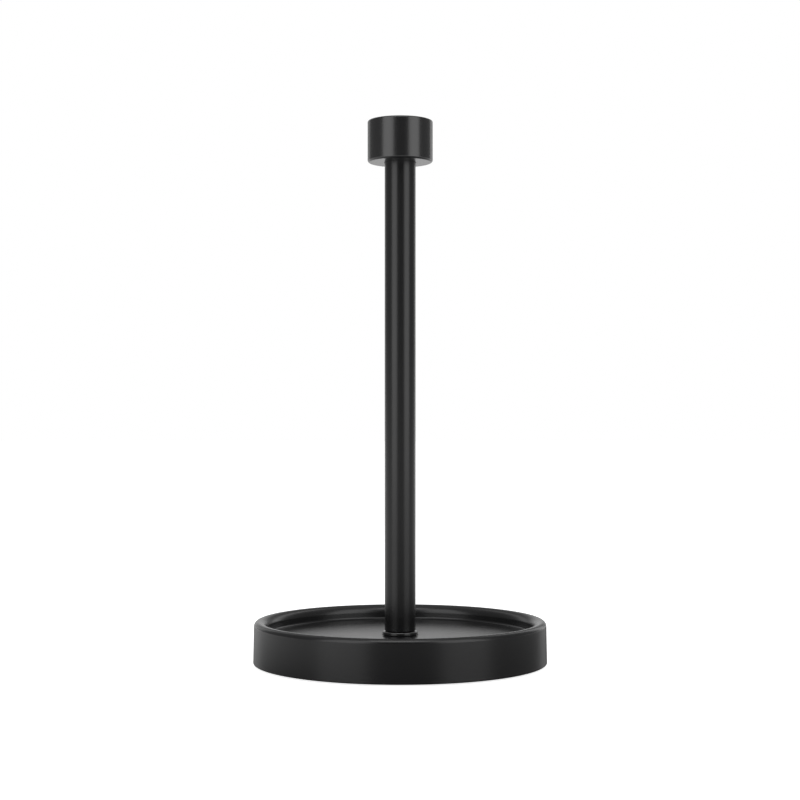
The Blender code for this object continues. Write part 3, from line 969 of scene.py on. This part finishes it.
class TOWEL_OT_collar(HolderOperator, bpy.types.Operator):
    """Spin the thin ring between the tray floor and the post"""

    bl_idname = "towel.collar"
    bl_label = "Collar"

    def make(self, settings, finish):
        _, outer, bottom, top = span("post_collar")
        hole = settings.fasteners.bolt_shank / 2 + settings.fasteners.clearance
        corners = ring(outer, hole, bottom, top, settings.post.collar_round, 0)
        shape = turned(corners, settings.post.facets)
        finished("collar_ring", shape, "post_collar", finish("black_moulded_ring"))


class TOWEL_OT_post(HolderOperator, bpy.types.Operator):
    """Spin the straight coated tube"""

    bl_idname = "towel.post"
    bl_label = "Post"

    def make(self, settings, finish):
        sizes = settings.post
        _, outer, bottom, top = span("post_tube")
        corners = ring(outer, outer - sizes.wall, bottom, top, sizes.edge_round, sizes.edge_round / 2)
        shape = turned(corners, sizes.facets)
        finished("coated_post", shape, "post_tube", finish("black_powder_coat"))


class TOWEL_OT_plugs(HolderOperator, bpy.types.Operator):
    """Turn and tap the two plugs in the post's ends"""

    bl_idname = "towel.plugs"
    bl_label = "Threaded plugs"

    def make(self, settings, finish):
        sizes = settings.fasteners
        edge = settings.post.plug_chamfer
        _, stud, _, _ = span("knob_stud")
        plugs = (
            ("lower_plug", sizes.bolt_shank / 2, sizes.bolt_thread, sizes.bolt_pitch),
            ("upper_plug", stud, sizes.stud_thread, sizes.stud_pitch),
        )
        for node, screw, depth, pitch in plugs:
            _, outer, bottom, top = span(node)
            bore = screw + sizes.clearance
            blank = turned(ring(outer, bore, bottom, top, edge, edge), METAL_FACETS)
            # The tap's roots stay inside the bore, so only its crests cut.
            tap = threaded(bore + depth, 1.1 * depth, pitch, bottom - pitch, top + pitch, facets=48)
            shape = combined(blank, "DIFFERENCE", tap)
            finished(f"tapped_{node}", shape, node, finish("zinc_plate"))


class TOWEL_OT_knob(HolderOperator, bpy.types.Operator):
    """Spin the turned knob, with its socket for the post's end"""

    bl_idname = "towel.knob"
    bl_label = "Knob"

    def make(self, settings, finish):
        sizes = settings.knob
        clearance = settings.fasteners.clearance
        _, outer, bottom, top = span("knob_body")
        _, post, _, _ = span("post_tube")
        _, stud, _, stud_top = span("knob_stud")
        socket = post + clearance
        socket_top = bottom + sizes.socket_depth
        hole = stud + clearance
        corners = [
            (0, top, 0),
            (outer, top, sizes.edge_round),
            (outer, bottom, sizes.bottom_round),
            (socket, bottom, sizes.mouth_round),
            (socket, socket_top, 0),
            (hole, socket_top, sizes.mouth_round),
            (hole, stud_top + sizes.hole_spare, 0),
            (0, stud_top + sizes.hole_spare + hole / 2, 0),
        ]
        shape = turned(corners, sizes.facets, closed=False)
        finished("coated_knob", shape, "knob_body", finish("black_knob_coat"))


class TOWEL_OT_stud(HolderOperator, bpy.types.Operator):
    """Roll the threaded stud that the knob turns on"""

    bl_idname = "towel.stud"
    bl_label = "Knob stud"

    def make(self, settings, finish):
        sizes = settings.fasteners
        _, radius, bottom, top = span("knob_stud")
        shape = threaded(
            radius, sizes.stud_thread, sizes.stud_pitch, bottom, top, facets=64, chamfer=sizes.stud_chamfer
        )
        finished("threaded_stud", shape, "knob_stud", finish("zinc_plate"))


class TOWEL_OT_knob_washer(HolderOperator, bpy.types.Operator):
    """Part off the thin nylon washer under the knob"""

    bl_idname = "towel.knob_washer"
    bl_label = "Knob washer"

    def make(self, settings, finish):
        _, outer, bottom, top = span("knob_washer")
        _, stud, _, _ = span("knob_stud")
        hole = stud + settings.fasteners.clearance
        edge = settings.knob.washer_round
        shape = turned(ring(outer, hole, bottom, top, edge, edge), settings.post.facets)
        finished("nylon_washer", shape, "knob_washer", finish("natural_nylon"))


# Studio


def floor_finish(glow, near, far, behind, left):
    """White acrylic, evenly lit to the eye; as a source of light it is dimmest round the tray.

    It can be looked through from below, so that it doesn't hide the holder's underside.
    """
    finish = Finish("white_acrylic", (0.80, 0.80, 0.80), 0.9)
    fibres = finish.noise(0.004, detail=4.0)
    finish.drive("Base Color", finish.blended(fibres, (0.78, 0.78, 0.78), (0.82, 0.82, 0.82)))
    finish.set("Emission Color", WHITE)
    finish.set("Emission Strength", glow)
    finish.set("Specular IOR Level", 0.0)
    tree = finish.tree
    place = {"Vector": finish.place}
    reach = add_node(tree, "ShaderNodeVectorMath", place, operation="LENGTH").outputs["Value"]
    axes = add_node(tree, "ShaderNodeSeparateXYZ", place).outputs
    brightest = stretched(tree, reach, *FADE_ROUND, near, far)
    leftwards = stretched(tree, axes["X"], *FADE_LEFT, left, near)
    backwards = stretched(tree, axes["Y"], *FADE_BEHIND, near, behind)
    for level in (leftwards, backwards):
        brighter = add_node(tree, "ShaderNodeMath", {0: brightest, 1: level}, operation="MAXIMUM")
        brightest = brighter.outputs["Value"]
    black = {"Base Color": (0, 0, 0, 1), "Roughness": 0.32}
    lit = {"Emission Color": WHITE, "Emission Strength": brightest}
    bounce = add_node(tree, "ShaderNodeBsdfPrincipled", black | lit)
    upper = split_by_camera(tree, bounce, finish.shader)
    lower = tree.nodes.new("ShaderNodeBsdfTransparent").outputs["BSDF"]
    from_below = tree.nodes.new("ShaderNodeNewGeometry").outputs["Backfacing"]
    one_way = add_node(tree, "ShaderNodeMixShader", {"Fac": from_below, 1: upper, 2: lower})
    tree.links.new(one_way.outputs["Shader"], tree.nodes["Material Output"].inputs["Surface"])
    return finish.material


def add_softbox(name, place, aim, width, height, brightness):
    """An area light of an even brightness, which the camera doesn't see."""
    lamp = bpy.data.lights.new(name, "AREA")
    lamp.shape = "RECTANGLE"
    lamp.size = width
    lamp.size_y = height
    lamp.energy = brightness * math.pi * width * height
    box = bpy.data.objects.new(name, lamp)
    box.location = place
    box.rotation_euler = (aim - place).to_track_quat("-Z", "Y").to_euler()
    box.visible_camera = False
    bpy.context.scene.collection.objects.link(box)


def make_surroundings(backdrop, beside, behind_camera, ceiling, turn):
    """White wherever the camera looks; for the light, bright behind the post and dim elsewhere."""
    world = bpy.data.worlds.new("studio")
    world.use_nodes = True
    tree = world.node_tree
    tree.nodes.clear()
    direction = tree.nodes.new("ShaderNodeTexCoord").outputs["Generated"]
    turned_round = add_node(tree, "ShaderNodeMapping", {"Vector": direction, "Rotation": (0, 0, -turn)})
    axes = add_node(tree, "ShaderNodeSeparateXYZ", {"Vector": turned_round.outputs["Vector"]}).outputs
    # From straight behind the camera, at 0, round to straight behind the post, at 1
    fade = add_node(tree, "ShaderNodeValToRGB", {"Fac": stretched(tree, axes["Y"], -1, 1, 0, 1)})
    ramp = fade.color_ramp
    ramp.interpolation = "EASE"
    while len(ramp.elements) < len(FADE_STOPS):
        ramp.elements.new(0.5)
    for stop, place, value in zip(ramp.elements, FADE_STOPS, (behind_camera, beside, beside, backdrop)):
        stop.position = place
        stop.color = (value, value, value, 1.0)
    strength = stretched(tree, axes["Z"], *FADE_CEILING, 1, ceiling)
    light = add_node(tree, "ShaderNodeBackground", {"Color": fade.outputs["Color"], "Strength": strength})
    seen = add_node(tree, "ShaderNodeBackground", {"Color": WHITE})
    add_node(tree, "ShaderNodeOutputWorld", {"Surface": split_by_camera(tree, light, seen)})
    bpy.context.scene.world = world


class TOWEL_OT_studio(HolderOperator, bpy.types.Operator):
    """Set up the floor, the lights, the surroundings and the camera"""

    bl_idname = "towel.studio"
    bl_label = "Studio"

    def make(self, settings, finish):
        scene = bpy.context.scene
        studio = settings.studio
        low, high = cad_box
        middle = Vector((0, 0, (low[2] + high[2]) / 2))

        ground = Matrix.Translation(UP * (low[2] - FLOOR_GAP))
        paper = bmesh.new()
        bmesh.ops.create_circle(paper, cap_ends=True, segments=96, radius=studio.floor, matrix=ground)
        mesh = bpy.data.meshes.new("paper_floor")
        paper.to_mesh(mesh)
        paper.free()
        brightness = (studio.floor_near, studio.floor_far, studio.floor_behind, studio.floor_left)
        mesh.materials.append(floor_finish(studio.glow, *brightness))
        floor = bpy.data.objects.new("paper_floor", mesh)
        scene.collection.objects.link(floor)

        level = low[2] + studio.side_foot + studio.side_length / 2
        boxes = (
            ("left_box", -studio.left_angle, studio.side_width, studio.left),
            ("right_box", studio.right_angle, studio.side_width, studio.right),
            ("left_rim_box", -studio.rim_angle, studio.rim_width, studio.left_rim),
            ("right_rim_box", studio.rim_angle, studio.rim_width, studio.right_rim),
        )
        for name, turn, width, brightness in boxes:
            out = Vector((math.sin(turn), -math.cos(turn), 0)) * studio.side_distance
            add_softbox(name, out + UP * level, UP * level, width, studio.side_length, brightness)
        above = middle + Vector((0, -studio.top_forward, studio.top_distance))
        add_softbox("top_box", above, middle, studio.top_size, studio.top_size, studio.top)
        levels = (studio.backdrop, studio.beside, studio.behind_camera, studio.ceiling)
        make_surroundings(*levels, studio.backdrop_turn)

        camera = bpy.data.cameras.new("camera")
        camera.lens = studio.lens
        camera.sensor_width = 36.0
        camera.shift_x = -studio.slide
        camera.shift_y = studio.rise
        camera.clip_start = 0.01
        viewer = bpy.data.objects.new("camera", camera)
        viewer.location = (0, -studio.distance, low[2] + studio.height)
        viewer.rotation_euler = (math.pi / 2, 0, 0)
        scene.collection.objects.link(viewer)
        scene.camera = viewer
        scene.view_settings.view_transform = "Standard"


SETTINGS = (
    TraySizes, PostSizes, KnobSizes, UndersideSizes, FastenerSizes, FinishSettings, StudioSettings,
    HolderSettings,
)
# In the order in which they are written above
MAKERS = HolderOperator.__subclasses__()


class VIEW3D_PT_towel_holder(bpy.types.Panel):
    """Sizes, finishes and makers of the paper towel holder"""

    bl_label = "Paper Towel Holder"
    bl_space_type = "VIEW_3D"
    bl_region_type = "UI"
    bl_category = "Towel Holder"

    def draw(self, context):
        settings = context.scene.towel_holder
        for key, group in ((key, getattr(settings, key)) for key in HolderSettings.__annotations__):
            column = self.layout.box().column(align=True)
            column.label(text=key.capitalize())
            for size in type(group).__annotations__:
                column.prop(group, size)
        for maker in MAKERS:
            self.layout.operator(maker.bl_idname)


CLASSES = (*SETTINGS, *MAKERS, VIEW3D_PT_towel_holder)


def register():
    for cls in CLASSES:
        bpy.utils.register_class(cls)
    bpy.types.Scene.towel_holder = PointerProperty(type=HolderSettings)


def unregister():
    del bpy.types.Scene.towel_holder
    for cls in reversed(CLASSES):
        bpy.utils.unregister_class(cls)


def main():
    register()
    for maker in MAKERS:
        group, name = maker.bl_idname.split(".")
        getattr(getattr(bpy.ops, group), name)()


if __name__ == "__main__":
    main()
